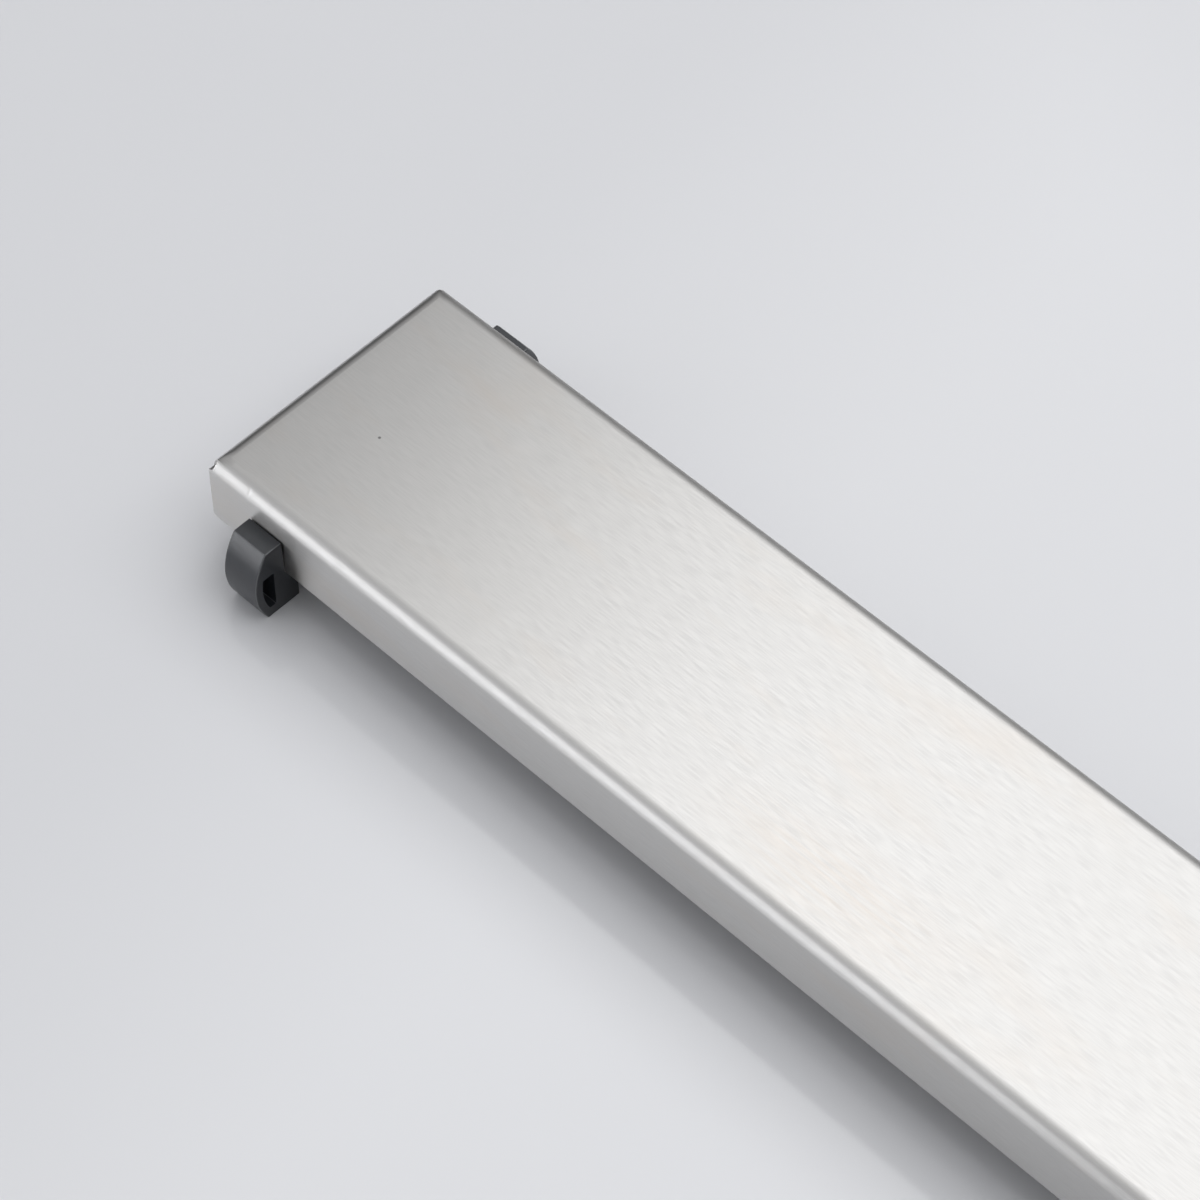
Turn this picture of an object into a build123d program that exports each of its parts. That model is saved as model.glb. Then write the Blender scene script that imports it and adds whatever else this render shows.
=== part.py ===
from build123d import *

import os

# Cover of a linear shower drain: one folded stainless sheet standing on four moulded clip feet.
# Millimetres, +Z up. X runs along the cover, Y across it and -Y is the front. The origin is under
# the middle of the cover, on the surface that the feet stand on.

# Folded sheet
cover_length = 290.0
cover_width = 56.0
flange_height = 15.75
sheet_thickness = 1.2
inside_bend_radius = 1.8
seam_gap = 0.1
notch_below_bend = 0.15
flange_corner_radius = 1.0

# Clip feet: reaches are measured outwards from the flange's outer face
foot_length = 8.0
foot_inset = 10.1
foot_drop = 8.9
foot_rise = 8.45
foot_top_reach = 3.95
foot_belly_reach = 6.95
foot_base_reach = 4.6
foot_edge_radius = 0.3

# Slot that pushes onto the flange, and the leg behind the flange
slot_clearance = 0.05
slot_mouth_width = 0.3
slot_mouth_depth = 6.0
leg_thickness = 1.4
leg_rise = 6.0
leg_lead_in = 0.5

# Core through each foot, which lets its belly spring against the channel's wall
pocket_floor = 2.5
pocket_height = 8.55
pocket_web = 2.6
belly_wall = 1.6
pocket_corner_radius = 0.3

# Heights and places that follow from these
cover_top = foot_drop + flange_height
outside_bend_radius = inside_bend_radius + sheet_thickness
corner_notch = sheet_thickness + seam_gap
notch_depth = outside_bend_radius + notch_below_bend
foot_height = foot_drop + foot_rise
foot_centre_x = cover_length / 2 - foot_inset - foot_length / 2

os.makedirs("parts", exist_ok=True)

# The sheet, folded down on all four sides: a rounded block hollowed from below to one thickness
with BuildPart() as cover_panel:
    with BuildSketch(Plane.XY.offset(foot_drop)):
        Rectangle(cover_length, cover_width)
    extrude(amount=flange_height)
    fillet(cover_panel.faces().sort_by(Axis.Z)[-1].edges(), outside_bend_radius)
    offset(amount=-sheet_thickness, openings=cover_panel.faces().sort_by(Axis.Z)[0])

    # Relief notch where two bends meet, open at the top
    with BuildSketch(Plane.XY.offset(cover_top)):
        with GridLocations(cover_length - corner_notch, cover_width - corner_notch, 2, 2):
            Rectangle(corner_notch, corner_notch)
    extrude(amount=-notch_depth, mode=Mode.SUBTRACT)

    # Open seam below it: the end flange stands between the long flanges, which run the full length
    with BuildSketch(Plane.XY.offset(foot_drop)):
        with GridLocations(
            cover_length - sheet_thickness,
            cover_width - 2 * sheet_thickness - seam_gap,
            2,
            2,
        ):
            Rectangle(sheet_thickness, seam_gap)
    extrude(amount=flange_height - notch_depth, mode=Mode.SUBTRACT)

    # Rounded lower corners of the flanges
    for along in (Axis.X, Axis.Y):
        lowest_edges = cover_panel.edges().filter_by(along).group_by(Axis.Z)[0]
        fillet(lowest_edges.group_by(SortBy.LENGTH)[0], flange_corner_radius)

cover_panel.part.label = "cover_panel"
export_step(cover_panel.part, "parts/cover_panel.step")

# One clip foot, drawn as a section across the cover with the flange's outer face at zero
base_point = (-foot_base_reach, 0)
belly_point = (-foot_belly_reach, foot_height / 2)
top_point = (-foot_top_reach, foot_height)
slot_outer = -slot_clearance
slot_inner = sheet_thickness + slot_clearance
leg_inner = slot_inner + leg_thickness
leg_top = foot_drop + leg_rise

with BuildPart() as clip_foot:
    with BuildSketch(Plane.YZ.offset(-foot_length / 2)):
        with BuildLine():
            ThreePointArc(base_point, belly_point, top_point)
            Polyline(
                top_point,
                (slot_outer - slot_mouth_width, foot_height),
                (slot_outer, foot_height - slot_mouth_depth),
                (slot_outer, foot_drop),
                (slot_inner, foot_drop),
                (slot_inner, leg_top - leg_lead_in),
                (slot_inner + leg_lead_in, leg_top),
                (leg_inner, leg_top),
                (leg_inner, 0),
                base_point,
            )
        make_face()
    extrude(amount=foot_length)

    # Pocket: the belly's own outline one wall further in, cut off square above, below and inside
    with BuildSketch(Plane.YZ.offset(-foot_length / 2)) as pocket_section:
        with BuildLine():
            ThreePointArc(base_point, belly_point, top_point)
            Polyline(top_point, (0, foot_height), (0, 0), base_point)
        make_face()
        offset(amount=-belly_wall)
        with Locations((-pocket_web, pocket_floor)):
            Rectangle(
                foot_belly_reach,
                pocket_height,
                align=(Align.MAX, Align.MIN),
                mode=Mode.INTERSECT,
            )
        fillet(pocket_section.vertices(), pocket_corner_radius)
    extrude(amount=foot_length, mode=Mode.SUBTRACT)

    # Softened edges round the belly, the top and the base, but not at the slot's mouth
    belly_edges = clip_foot.edges().filter_by(GeomType.CIRCLE).sort_by(SortBy.LENGTH)[-2:]
    level_faces = clip_foot.faces().filter_by(Axis.Z).sort_by(Axis.Z)
    top_edges = level_faces[-1].edges().sort_by(Axis.Y)[:-1]
    base_edges = level_faces[0].edges()
    fillet(belly_edges + top_edges + base_edges, foot_edge_radius)

# The same moulding at both ends of both long flanges, turned to face outwards
for side, side_sign, turn in (("front", -1, 0), ("rear", 1, 180)):
    for end, end_sign in (("left", -1), ("right", 1)):
        seat = (end_sign * foot_centre_x, side_sign * cover_width / 2, 0)
        with BuildPart() as foot:
            with Locations(Location(seat, (0, 0, turn))):
                add(clip_foot.part)
        foot.part.label = f"{side}_{end}_foot"
        export_step(foot.part, f"parts/{side}_{end}_foot.step")
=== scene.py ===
import math
from collections import namedtuple

import bmesh
import bpy
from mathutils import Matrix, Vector


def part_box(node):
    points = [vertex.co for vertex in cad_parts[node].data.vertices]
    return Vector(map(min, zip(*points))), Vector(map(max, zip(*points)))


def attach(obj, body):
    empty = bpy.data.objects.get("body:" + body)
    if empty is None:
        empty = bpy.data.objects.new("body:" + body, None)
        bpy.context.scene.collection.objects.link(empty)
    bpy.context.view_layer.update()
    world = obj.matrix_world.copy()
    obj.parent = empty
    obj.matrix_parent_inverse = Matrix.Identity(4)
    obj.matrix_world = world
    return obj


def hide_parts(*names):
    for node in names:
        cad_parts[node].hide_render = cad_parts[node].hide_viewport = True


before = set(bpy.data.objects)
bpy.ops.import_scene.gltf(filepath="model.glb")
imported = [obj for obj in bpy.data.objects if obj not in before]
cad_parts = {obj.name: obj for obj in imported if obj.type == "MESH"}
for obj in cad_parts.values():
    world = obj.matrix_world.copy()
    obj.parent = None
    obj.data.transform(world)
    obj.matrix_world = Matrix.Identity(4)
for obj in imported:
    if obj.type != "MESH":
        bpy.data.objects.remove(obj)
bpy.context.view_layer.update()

# Cover of a linear shower drain: a brushed stainless sheet folded down on all sides, on four clip
# feet. Metres, in the frame of the solids: X runs along the cover, -Y is the front, and the feet
# stand on Z = 0.

MM = 0.001

# Folded sheet: sizes that its box doesn't give
SHEET_THICKNESS = 1.2 * MM
BEND_RADIUS = 3.0 * MM
CORNER_NOTCH = 1.3 * MM
NOTCH_POWER = 5
FLANGE_CORNER_RADIUS = 1.0 * MM
DEBURRED_EDGE = 0.15 * MM
DEBURRED_FROM = math.radians(65)
DEBURR_SEGMENTS = 3

# How finely the sheet is meshed
MITRE_STEPS = 8
BEND_STEPS = 14
CORNER_STEPS = 5
TOP_COLUMNS = 24
END_COLUMNS = 8
END_MARGIN = 4.5 * MM
WELD_DISTANCE = 0.002 * MM

# Small crease across the front bend, measured along the cover from its left end
CREASE_FROM_END = 9.8 * MM
CREASE_ANGLE = math.radians(58)
CREASE_SPREAD = math.radians(16)
CREASE_HALF_WIDTH = 0.26 * MM
CREASE_DEPTH = 0.09 * MM
CREASE_COLUMNS = 9
CREASE_REACH = 2.2 * CREASE_HALF_WIDTH

# Brushed steel: noise cells for each metre across the grain and along it
FINE_GRAIN = (3000.0, 230.0, 1.0)
COARSE_GRAIN = (1300.0, 60.0, 1.0)
DASHED_GRAIN = (5000.0, 210.0, 1.0)
HANDLED_PATCHES = (70.0, 22.0, 1.0)
FINE_BAND = (0.3, 0.7)
COARSE_BAND = (0.35, 0.65)
DASH_BAND = (0.42, 0.62)
HANDLED_BAND = (0.52, 0.72)
BRIGHT_STREAK = (0.598, 0.592, 0.581)
DULL_STREAK = (0.574, 0.569, 0.559)
WARM_STAIN = (0.590, 0.556, 0.520)
STREAK_ROUGHNESS = (0.322, 0.350)
FINE_ROUGHNESS = 0.02
BRUSHED_ANISOTROPY = 0.87
FINE_BUMP = 0.04

# The front bend's grain is opened between these angles, fading in and out, in degrees
BEND_ROUGHNESS = 0.070
OPENING_ANGLES = (42, 56)
CLOSING_ANGLES = (105, 85)

# Speck of dirt on the top, from the left end and from the front face
SPECK_FROM_END = 18.0 * MM
SPECK_FROM_FRONT = 23.7 * MM
SPECK_RADIUS = 0.35 * MM
SPECK_COLOUR = (0.10, 0.10, 0.10)
SPECK_STRENGTH = 0.75

# Warm smudge left by handling, from the left end and from the front face
SMUDGE_FROM_END = 136.0 * MM
SMUDGE_FROM_FRONT = 10.5 * MM
SMUDGE_LENGTH = 34.0 * MM
SMUDGE_WIDTH = 11.0 * MM
SMUDGE_FADE = (0.1, 1.0)
SMUDGE_PATCHES = (0.2, 1.0)
HANDLED_STRENGTH = 0.6

# Moulded plastic: its colours, the painted highlight on its rounded edges, and the turns of the
# surface between which an edge counts as rounded
DARK_PLASTIC = (0.0155, 0.0185, 0.0235)
PALE_PLASTIC = (0.0210, 0.0245, 0.0305)
# Paler colour painted on the rounded edges: a painted highlight, not wear
PAINTED_EDGE_HIGHLIGHT = (0.120, 0.124, 0.130)
END_EDGE_BAND = (0.25, 0.97)
TOP_EDGE_BAND = (0.66, 0.985)
PLASTIC_GRAIN = 5200.0
PLASTIC_GRAIN_BAND = (0.3, 0.7)
PLASTIC_FLOW = 420.0
PLASTIC_FLOW_STRETCH = (1.0, 1.0, 0.5)
PLASTIC_FLOW_BAND = (0.35, 0.7)
PLASTIC_ROUGHNESS = (0.30, 0.38)
PLASTIC_BUMP = 0.10
PLASTIC_IOR = 1.60
BUMP_DISTANCE = 0.02 * MM

# Floor
FLOOR_RADIUS = 6.0
FLOOR_SEGMENTS = 64
FLOOR_COLOURS = ((0.768, 0.777, 0.804), (0.780, 0.789, 0.816))
FLOOR_CLOUDS = 6.0
FLOOR_CLOUD_BAND = (0.3, 0.7)
FLOOR_ROUGHNESS = 0.10
FLOOR_IOR = 1.55

# Lamps: places and aims, sizes as width and height, and how bright they look
OVERHEAD_PLACE = (0.08, 0.40, 1.09)
OVERHEAD_AIM = (0.08, 0.0, 0.0)
OVERHEAD_OUTER = (1.68, 1.29)
OVERHEAD_INNER = (1.24, 0.91)
OVERHEAD_RADIANCE = 1.19
OVERHEAD_LAYERS = 7
LAYER_SHIFT = 0.01
FRONT_AIM = (0.0, 0.0, 0.02)
FRONT_COLOUR = (0.960, 0.972, 1.0)
FRONT_LOW_PLACE = (-0.70, -0.98, 0.125)
FRONT_LOW_SIZE = (1.05, 0.23)
FRONT_LOW_RADIANCE = 3.70
FRONT_FILL_PLACE = (-0.72, -1.01, 0.46)
FRONT_FILL_SIZE = (1.60, 0.50)
FRONT_FILL_RADIANCE = 0.28

# Room: how bright it is at these heights of the direction looked in, from level to straight up
ROOM_LEVELS = ((0.0, 0.05), (0.26, 0.07), (0.64, 0.48), (1.0, 0.60))
ROOM_BLUE = 1.01

# Camera, fitted to the photograph's edges
CAMERA_PLACE = (0.2213, -0.3094, 0.60435)
CAMERA_TURN = (36.36, 0.0, 44.08)
CAMERA_LENS = 129.0
CAMERA_SENSOR = 36.0

cover_low, cover_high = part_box("cover_panel")
half_length = cover_high[0]
half_width = cover_high[1]
cover_top = cover_high[2]
flange_foot = cover_low[2]
bend_foot = cover_top - BEND_RADIUS


class Nodes:
    """A new node material, with short ways to add nodes and join them."""

    def __init__(self, name):
        self.material = bpy.data.materials.new(name)
        self.material.use_nodes = True
        self.tree = self.material.node_tree
        self.shader = self.tree.nodes["Principled BSDF"]

    def add(self, kind, **settings):
        node = self.tree.nodes.new(kind)
        for key, value in settings.items():
            setattr(node, key, value)
        return node

    def join(self, source, target):
        self.tree.links.new(source, target)

    def feed(self, name, source):
        """Joins source to the shader's input of this name."""
        self.join(source, self.shader.inputs[name])

    def fix(self, name, value):
        """Sets the shader's input of this name to one value all over the surface."""
        self.shader.inputs[name].default_value = value

    def mapped(self, source, scale):
        """The vector from source, multiplied axis by axis."""
        node = self.add("ShaderNodeVectorMath", operation="MULTIPLY")
        self.join(source, node.inputs[0])
        node.inputs[1].default_value = scale
        return node.outputs[0]

    def noise(self, vector, scale=1.0, detail=2.0, roughness=0.5):
        node = self.add("ShaderNodeTexNoise")
        self.join(vector, node.inputs["Vector"])
        node.inputs["Scale"].default_value = scale
        node.inputs["Detail"].default_value = detail
        node.inputs["Roughness"].default_value = roughness
        return node.outputs["Fac"]

    def ranged(self, value, source, target):
        """value, moved from the range source to the range target and kept inside it."""
        node = self.add("ShaderNodeMapRange")
        self.join(value, node.inputs["Value"])
        node.inputs["From Min"].default_value, node.inputs["From Max"].default_value = source
        node.inputs["To Min"].default_value, node.inputs["To Max"].default_value = target
        return node.outputs["Result"]

    def math(self, operation, first, second):
        node = self.add("ShaderNodeMath", operation=operation)
        self.join(first, node.inputs[0])
        self.join(second, node.inputs[1])
        return node.outputs[0]

    def distance(self, vector, place):
        node = self.add("ShaderNodeVectorMath", operation="DISTANCE")
        self.join(vector, node.inputs[0])
        node.inputs[1].default_value = place
        return node.outputs["Value"]

    def mixed(self, factor, first, second):
        """Colour that goes from first to second; each is a colour or another node's output."""
        node = self.add("ShaderNodeMix", data_type="RGBA")
        self.join(factor, node.inputs["Factor"])
        for name, value in (("A", first), ("B", second)):
            socket = [s for s in node.inputs if s.name == name and s.type == "RGBA"][0]
            if isinstance(value, bpy.types.NodeSocket):
                self.join(value, socket)
            else:
                socket.default_value = (*value, 1.0)
        return [s for s in node.outputs if s.type == "RGBA"][0]

    def band(self, value, low, high):
        """One in the middle between low and high, and nothing outside them."""
        ramp = self.add("ShaderNodeValToRGB")
        self.join(value, ramp.inputs["Fac"])
        third = (high - low) / 3
        elements = ramp.color_ramp.elements
        elements[0].position = low
        elements[1].position = high
        elements[1].color = (0.0, 0.0, 0.0, 1.0)
        for place in (low + third, high - third):
            elements.new(place).color = (1.0, 1.0, 1.0, 1.0)
        return ramp.outputs["Color"]

    def bump(self, height, strength, distance):
        node = self.add("ShaderNodeBump")
        self.join(height, node.inputs["Height"])
        node.inputs["Strength"].default_value = strength
        node.inputs["Distance"].default_value = distance
        self.feed("Normal", node.outputs["Normal"])


def pattern_place(from_front, from_end):
    """A place on the flat pattern, given from the cover's front face and its left end."""
    return (from_front - half_width, from_end - half_length, 0.0)


def front_bend_place(angle):
    """Where this angle round the front bend, in degrees, lies across the flat pattern."""
    return -(half_width - BEND_RADIUS + BEND_RADIUS * math.radians(angle))


def steel_stains(nodes, flat, coarse):
    """How strongly the steel is stained: the smudge, and fainter patches from handling."""
    scale = (1 / SMUDGE_WIDTH, 1 / SMUDGE_LENGTH, 0.0)
    place = pattern_place(SMUDGE_FROM_FRONT, SMUDGE_FROM_END)
    centre = [part * times for part, times in zip(place, scale)]
    away = nodes.distance(nodes.mapped(flat, scale), centre)
    smudge = nodes.ranged(away, SMUDGE_FADE, (1.0, 0.0))
    patchy = nodes.math("MULTIPLY", smudge, nodes.ranged(coarse, COARSE_BAND, SMUDGE_PATCHES))
    handled = nodes.noise(nodes.mapped(flat, HANDLED_PATCHES), detail=4.0, roughness=0.6)
    faint = nodes.ranged(handled, HANDLED_BAND, (0.0, HANDLED_STRENGTH))
    return nodes.math("MAXIMUM", patchy, faint)


def opened_grain(nodes, flat):
    """Roughness that the front bend gains, because its stretched outer side has an opened grain."""
    split = nodes.add("ShaderNodeSeparateXYZ")
    nodes.join(flat, split.inputs[0])
    across = split.outputs["X"]
    sides = []
    for angles in (OPENING_ANGLES, CLOSING_ANGLES):
        places = [front_bend_place(angle) for angle in angles]
        sides.append(nodes.ranged(across, places, (0.0, BEND_ROUGHNESS)))
    return nodes.math("MINIMUM", *sides)


def brushed_steel():
    """Brushed stainless steel. The UV map is the flat pattern in metres, V along the grain."""
    nodes = Nodes("brushed_stainless")
    flat = nodes.add("ShaderNodeUVMap", uv_map="flat_pattern").outputs["UV"]
    fine = nodes.noise(nodes.mapped(flat, FINE_GRAIN), detail=3.0, roughness=0.6)
    coarse = nodes.noise(nodes.mapped(flat, COARSE_GRAIN), detail=2.0)
    dashes = nodes.noise(nodes.mapped(flat, DASHED_GRAIN), detail=1.0)

    streaks = nodes.mixed(nodes.ranged(dashes, DASH_BAND, (0.0, 1.0)), BRIGHT_STREAK, DULL_STREAK)
    tinted = nodes.mixed(steel_stains(nodes, flat, coarse), streaks, WARM_STAIN)
    away = nodes.distance(flat, pattern_place(SPECK_FROM_FRONT, SPECK_FROM_END))
    speck = nodes.ranged(away, (0.5 * SPECK_RADIUS, SPECK_RADIUS), (SPECK_STRENGTH, 0.0))
    nodes.feed("Base Color", nodes.mixed(speck, tinted, SPECK_COLOUR))

    ground = nodes.math(
        "ADD",
        nodes.ranged(fine, FINE_BAND, (0.0, FINE_ROUGHNESS)),
        nodes.ranged(dashes, DASH_BAND, STREAK_ROUGHNESS),
    )
    nodes.feed("Roughness", nodes.math("ADD", ground, opened_grain(nodes, flat)))
    nodes.bump(fine, FINE_BUMP, BUMP_DISTANCE)

    tangent = nodes.add("ShaderNodeTangent", direction_type="UV_MAP", uv_map="flat_pattern")
    nodes.feed("Tangent", tangent.outputs["Tangent"])
    nodes.fix("Metallic", 1.0)
    nodes.fix("Anisotropic", BRUSHED_ANISOTROPY)
    return nodes.material


def edge_highlight_mask(nodes):
    """Where the foot's surface turns between its end faces, its top and its belly: the rounded edges
    that get a painted highlight.
    """
    facing = nodes.add("ShaderNodeSeparateXYZ")
    nodes.join(nodes.add("ShaderNodeTexCoord").outputs["Normal"], facing.inputs[0])
    sideways = nodes.add("ShaderNodeMath", operation="ABSOLUTE")
    nodes.join(facing.outputs["X"], sideways.inputs[0])
    at_ends = nodes.band(sideways.outputs[0], *END_EDGE_BAND)
    at_top = nodes.band(facing.outputs["Z"], *TOP_EDGE_BAND)
    return nodes.math("MAXIMUM", at_ends, at_top)


def moulded_plastic():
    """Dark grey moulded plastic with a fine satin texture and slight flow marks; its rounded edges
    are painted paler as a highlight, standing in for the light they catch.
    """
    nodes = Nodes("grey_plastic")
    place = nodes.add("ShaderNodeTexCoord").outputs["Object"]
    grain = nodes.noise(place, scale=PLASTIC_GRAIN, detail=2.0)
    stretched = nodes.mapped(place, PLASTIC_FLOW_STRETCH)
    flow = nodes.noise(stretched, scale=PLASTIC_FLOW, detail=3.0)
    marks = nodes.ranged(flow, PLASTIC_FLOW_BAND, (0.0, 1.0))
    colour = nodes.mixed(marks, DARK_PLASTIC, PALE_PLASTIC)
    # The rounded edges are painted paler: a painted highlight where they catch the light
    nodes.feed("Base Color", nodes.mixed(edge_highlight_mask(nodes), colour, PAINTED_EDGE_HIGHLIGHT))
    nodes.feed("Roughness", nodes.ranged(grain, PLASTIC_GRAIN_BAND, PLASTIC_ROUGHNESS))
    nodes.bump(grain, PLASTIC_BUMP, BUMP_DISTANCE)
    nodes.fix("IOR", PLASTIC_IOR)
    return nodes.material


def floor_finish():
    """Pale polished board."""
    nodes = Nodes("pale_floor")
    place = nodes.add("ShaderNodeTexCoord").outputs["Object"]
    soft = nodes.noise(place, scale=FLOOR_CLOUDS, detail=3.0)
    clouds = nodes.ranged(soft, FLOOR_CLOUD_BAND, (0.0, 1.0))
    nodes.feed("Base Color", nodes.mixed(clouds, *FLOOR_COLOURS))
    nodes.fix("Roughness", FLOOR_ROUGHNESS)
    nodes.fix("IOR", FLOOR_IOR)
    return nodes.material


# One line of the sheet's outer surface, along a side: how far in from the side's face it lies, its
# height, its distance from the bend's upper edge in the flat pattern, how far from the corner it
# starts, and how far round the bend it is.
Row = namedtuple("Row", "inset height unfolded start angle")


def bend_rows(foot_start):
    """From the flat top round the bend. Two bends meet at a mitre, down to the corner notch.

    The notch then narrows, and at the bend's foot the side starts at foot_start from the corner.
    """
    mitre_angle = math.asin(1 - CORNER_NOTCH / BEND_RADIUS)
    rest = math.pi / 2 - mitre_angle
    angles = [mitre_angle * i / MITRE_STEPS for i in range(MITRE_STEPS)]
    angles += [mitre_angle + rest * i / BEND_STEPS for i in range(BEND_STEPS + 1)]
    rows = []
    for angle in angles:
        inset = BEND_RADIUS * (1 - math.sin(angle))
        height = cover_top - BEND_RADIUS * (1 - math.cos(angle))
        if angle <= mitre_angle:
            start = inset
        else:
            depth = (angle - mitre_angle) / rest
            start = CORNER_NOTCH + (foot_start - CORNER_NOTCH) * depth**NOTCH_POWER
        rows.append(Row(inset, height, BEND_RADIUS * angle, start, angle))
    return rows


def flange_rows(upper_start):
    """Down the flat flange, from upper_start at the bend's foot to the rounded lower corner."""
    heights = [(bend_foot, 0.0), ((bend_foot + flange_foot) / 2, 0.0)]
    for i in range(CORNER_STEPS + 1):
        turn = math.pi / 2 * i / CORNER_STEPS
        height = flange_foot + FLANGE_CORNER_RADIUS * (1 - math.sin(turn))
        heights.append((height, FLANGE_CORNER_RADIUS * (1 - math.cos(turn))))
    rows = []
    for height, rounded in heights:
        unfolded = BEND_RADIUS * math.pi / 2 + bend_foot - height
        rows.append(Row(0.0, height, unfolded, upper_start + rounded, math.pi / 2))
    return rows


def columns(half_run, count, extra=()):
    """Places along a side, alike on both sides of its middle. Only the outermost lie in the bends."""
    inner = half_run - END_MARGIN
    places = {round(-inner + 2 * inner * i / count, 9) for i in range(count + 1)}
    places |= {round(place, 9) for place in extra}
    places |= {round(-place, 9) for place in extra}
    return [-half_run] + sorted(places) + [half_run]


def crease_columns():
    """Closer places along the front, where the crease is."""
    middle = half_length - CREASE_FROM_END
    steps = [2 * i / (CREASE_COLUMNS - 1) - 1 for i in range(CREASE_COLUMNS)]
    return [middle + CREASE_REACH * step for step in steps]


def crease(angle, along):
    """How far the front bend is pushed in at this angle and place."""
    across = (along + half_length - CREASE_FROM_END) / CREASE_HALF_WIDTH
    down = (angle - CREASE_ANGLE) / CREASE_SPREAD
    return CREASE_DEPTH * math.exp(-across * across - down * down)


def held_within(places, reach):
    """The places, with those beyond the reach on either side drawn in to it."""
    return [max(-reach, min(reach, place)) for place in places]


class SheetBuilder:
    """Collects the outer surface of the folded sheet as quads, with the flat pattern as UV map."""

    def __init__(self):
        self.mesh = bmesh.new()
        self.pattern = self.mesh.loops.layers.uv.new("flat_pattern")

    def grid(self, points):
        """points are rows of (place, pattern place), seen from outside, from the top left."""
        made = [[(self.mesh.verts.new(place), flat) for place, flat in row] for row in points]
        for upper, lower in zip(made, made[1:]):
            for i in range(len(upper) - 1):
                corners = (upper[i], lower[i], lower[i + 1], upper[i + 1])
                face = self.mesh.faces.new([vertex for vertex, flat in corners])
                face.smooth = True
                for loop, (vertex, flat) in zip(face.loops, corners):
                    loop[self.pattern].uv = flat

    def finish(self, name):
        """Welds the grids into one surface and puts it into the scene."""
        bmesh.ops.remove_doubles(self.mesh, verts=self.mesh.verts, dist=WELD_DISTANCE)
        mesh = bpy.data.meshes.new(name)
        self.mesh.to_mesh(mesh)
        self.mesh.free()
        sheet = bpy.data.objects.new(name, mesh)
        bpy.context.collection.objects.link(sheet)
        return sheet


def side_point(side, along, row):
    """Place and pattern place of a point on one of the four folded sides."""
    if side in ("front", "rear"):
        sign = -1 if side == "front" else 1
        dent = crease(row.angle, along) if side == "front" else 0.0
        y = half_width - row.inset - dent * math.sin(row.angle)
        place = Vector((-sign * along, sign * y, row.height - dent * math.cos(row.angle)))
        flat = (sign * (half_width - BEND_RADIUS + row.unfolded), place.x)
    else:
        sign = -1 if side == "left" else 1
        place = Vector((sign * (half_length - row.inset), sign * along, row.height))
        flat = (place.y, sign * (half_length - BEND_RADIUS + row.unfolded))
    return place, flat


def side_rows(side, half_run, places, rows):
    """The side's points, row by row, with the ends of each row drawn in to where it starts."""
    grid = []
    for row in rows:
        reached = held_within(places, half_run - row.start)
        grid.append([side_point(side, place, row) for place in reached])
    return grid


def folded_sheet():
    """The cover: outer surface first, then its thickness and deburred edges."""
    long_places = columns(half_length, TOP_COLUMNS, crease_columns())
    end_places = columns(half_width, END_COLUMNS)
    top_x = held_within(long_places, half_length - BEND_RADIUS)
    top_y = held_within(end_places, half_width - BEND_RADIUS)
    builder = SheetBuilder()
    builder.grid([[(Vector((x, y, cover_top)), (y, x)) for x in top_x] for y in reversed(top_y)])

    # The long flanges run the full length, and the end flanges stand between them
    sides = (
        ("front", half_length, long_places, 0.0),
        ("rear", half_length, long_places, 0.0),
        ("left", half_width, end_places, CORNER_NOTCH),
        ("right", half_width, end_places, CORNER_NOTCH),
    )
    for side, half_run, places, foot_start in sides:
        builder.grid(side_rows(side, half_run, places, bend_rows(foot_start)))
        builder.grid(side_rows(side, half_run, places, flange_rows(foot_start)))

    sheet = builder.finish("folded_sheet")
    thickness = sheet.modifiers.new("thickness", "SOLIDIFY")
    thickness.thickness = SHEET_THICKNESS
    thickness.offset = -1.0
    thickness.use_even_offset = True
    edges = sheet.modifiers.new("deburred_edges", "BEVEL")
    edges.width = DEBURRED_EDGE
    edges.segments = DEBURR_SEGMENTS
    edges.limit_method = "ANGLE"
    edges.angle_limit = DEBURRED_FROM
    normals = sheet.modifiers.new("flat_faces_stay_flat", "WEIGHTED_NORMAL")
    normals.keep_sharp = True
    return sheet


def area_light(name, place, aim, size, radiance, colour=(1.0, 1.0, 1.0)):
    """A soft box that looks equally bright, radiance, from wherever it is seen."""
    width, height = size
    data = bpy.data.lights.new(name, "AREA")
    data.shape = "RECTANGLE"
    data.size = width
    data.size_y = height
    # A lamp of this kind has a radiance of its energy divided by four times its area
    data.energy = radiance * 4 * width * height
    data.color = colour
    lamp = bpy.data.objects.new(name, data)
    lamp.location = place
    lamp.rotation_euler = (Vector(aim) - Vector(place)).to_track_quat("-Z", "Y").to_euler()
    bpy.context.collection.objects.link(lamp)


def soft_box(name, place, aim, outer, inner, radiance, layers):
    """Boxes one in front of another, from outer to inner size, so that the light's edges fade."""
    for layer in range(layers):
        share = layer / (layers - 1)
        size = [a + (b - a) * share for a, b in zip(outer, inner)]
        nearer = Vector(place).lerp(Vector(aim), LAYER_SHIFT * layer)
        area_light(f"{name}_{layer + 1}", nearer, aim, size, radiance / layers)


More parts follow.
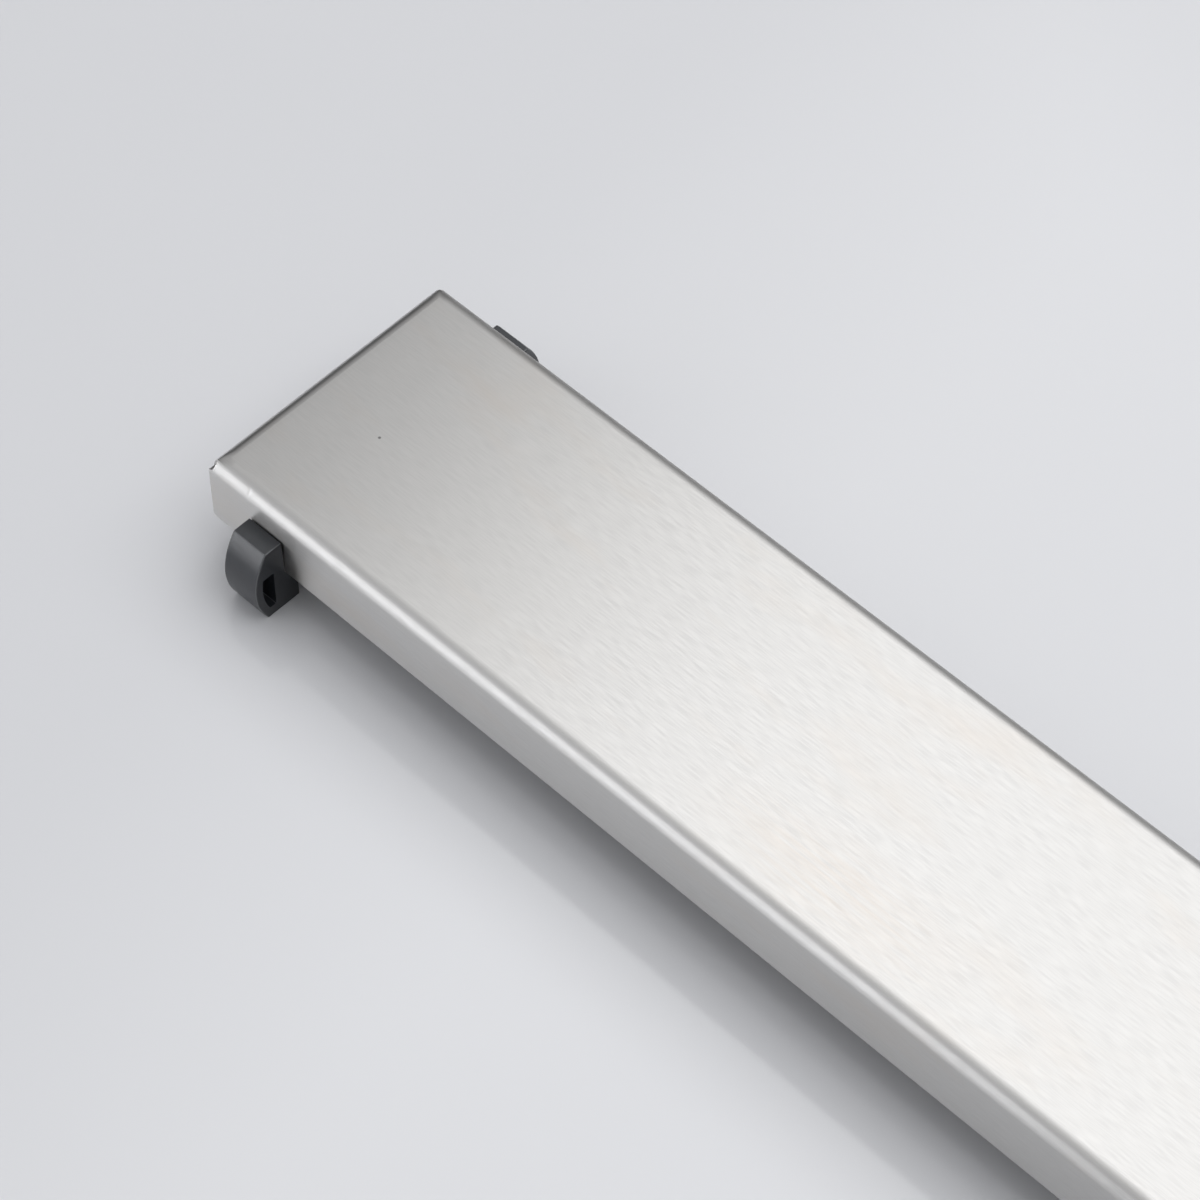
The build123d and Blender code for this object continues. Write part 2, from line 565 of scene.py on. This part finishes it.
def studio_lamps():
    """One large soft box overhead, a low one at the front and a faint one above that."""
    soft_box(
        "overhead",
        OVERHEAD_PLACE,
        OVERHEAD_AIM,
        OVERHEAD_OUTER,
        OVERHEAD_INNER,
        OVERHEAD_RADIANCE,
        OVERHEAD_LAYERS,
    )
    fronts = (
        ("front_low", FRONT_LOW_PLACE, FRONT_LOW_SIZE, FRONT_LOW_RADIANCE),
        ("front_fill", FRONT_FILL_PLACE, FRONT_FILL_SIZE, FRONT_FILL_RADIANCE),
    )
    for name, place, size, radiance in fronts:
        area_light(name, place, FRONT_AIM, size, radiance, FRONT_COLOUR)


def studio_world():
    """A plain room: dim along the floor, lighter towards the ceiling."""
    world = bpy.data.worlds.new("studio")
    bpy.context.scene.world = world
    world.use_nodes = True
    tree = world.node_tree
    direction = tree.nodes.new("ShaderNodeTexCoord")
    split = tree.nodes.new("ShaderNodeSeparateXYZ")
    ramp = tree.nodes.new("ShaderNodeValToRGB")
    tree.links.new(direction.outputs["Generated"], split.inputs[0])
    tree.links.new(split.outputs["Z"], ramp.inputs["Fac"])
    tree.links.new(ramp.outputs["Color"], tree.nodes["Background"].inputs["Color"])
    while len(ramp.color_ramp.elements) < len(ROOM_LEVELS):
        ramp.color_ramp.elements.new(0.5)
    for element, (position, level) in zip(ramp.color_ramp.elements, ROOM_LEVELS):
        element.position = position
        element.color = (level, level, ROOM_BLUE * level, 1.0)


def floor_disc():
    """The floor that the cover stands on."""
    mesh = bpy.data.meshes.new("floor")
    shape = bmesh.new()
    bmesh.ops.create_circle(shape, cap_ends=True, segments=FLOOR_SEGMENTS, radius=FLOOR_RADIUS)
    shape.to_mesh(mesh)
    shape.free()
    floor = bpy.data.objects.new("floor", mesh)
    bpy.context.collection.objects.link(floor)
    floor.data.materials.append(floor_finish())
    return floor


def photo_camera():
    """The camera that took the photograph."""
    data = bpy.data.cameras.new("camera")
    data.sensor_width = CAMERA_SENSOR
    data.lens = CAMERA_LENS
    camera = bpy.data.objects.new("camera", data)
    camera.location = CAMERA_PLACE
    camera.rotation_euler = [math.radians(turn) for turn in CAMERA_TURN]
    bpy.context.collection.objects.link(camera)
    bpy.context.scene.camera = camera


# The object
sheet = folded_sheet()
sheet.data.materials.append(brushed_steel())
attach(sheet, "root")
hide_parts("cover_panel")

plastic = moulded_plastic()
for name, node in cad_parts.items():
    if name.endswith("_foot"):
        node.data.materials.clear()
        node.data.materials.append(plastic)

# The studio
floor = floor_disc()
studio_world()
studio_lamps()
photo_camera()

bpy.context.scene.view_settings.view_transform = "Standard"
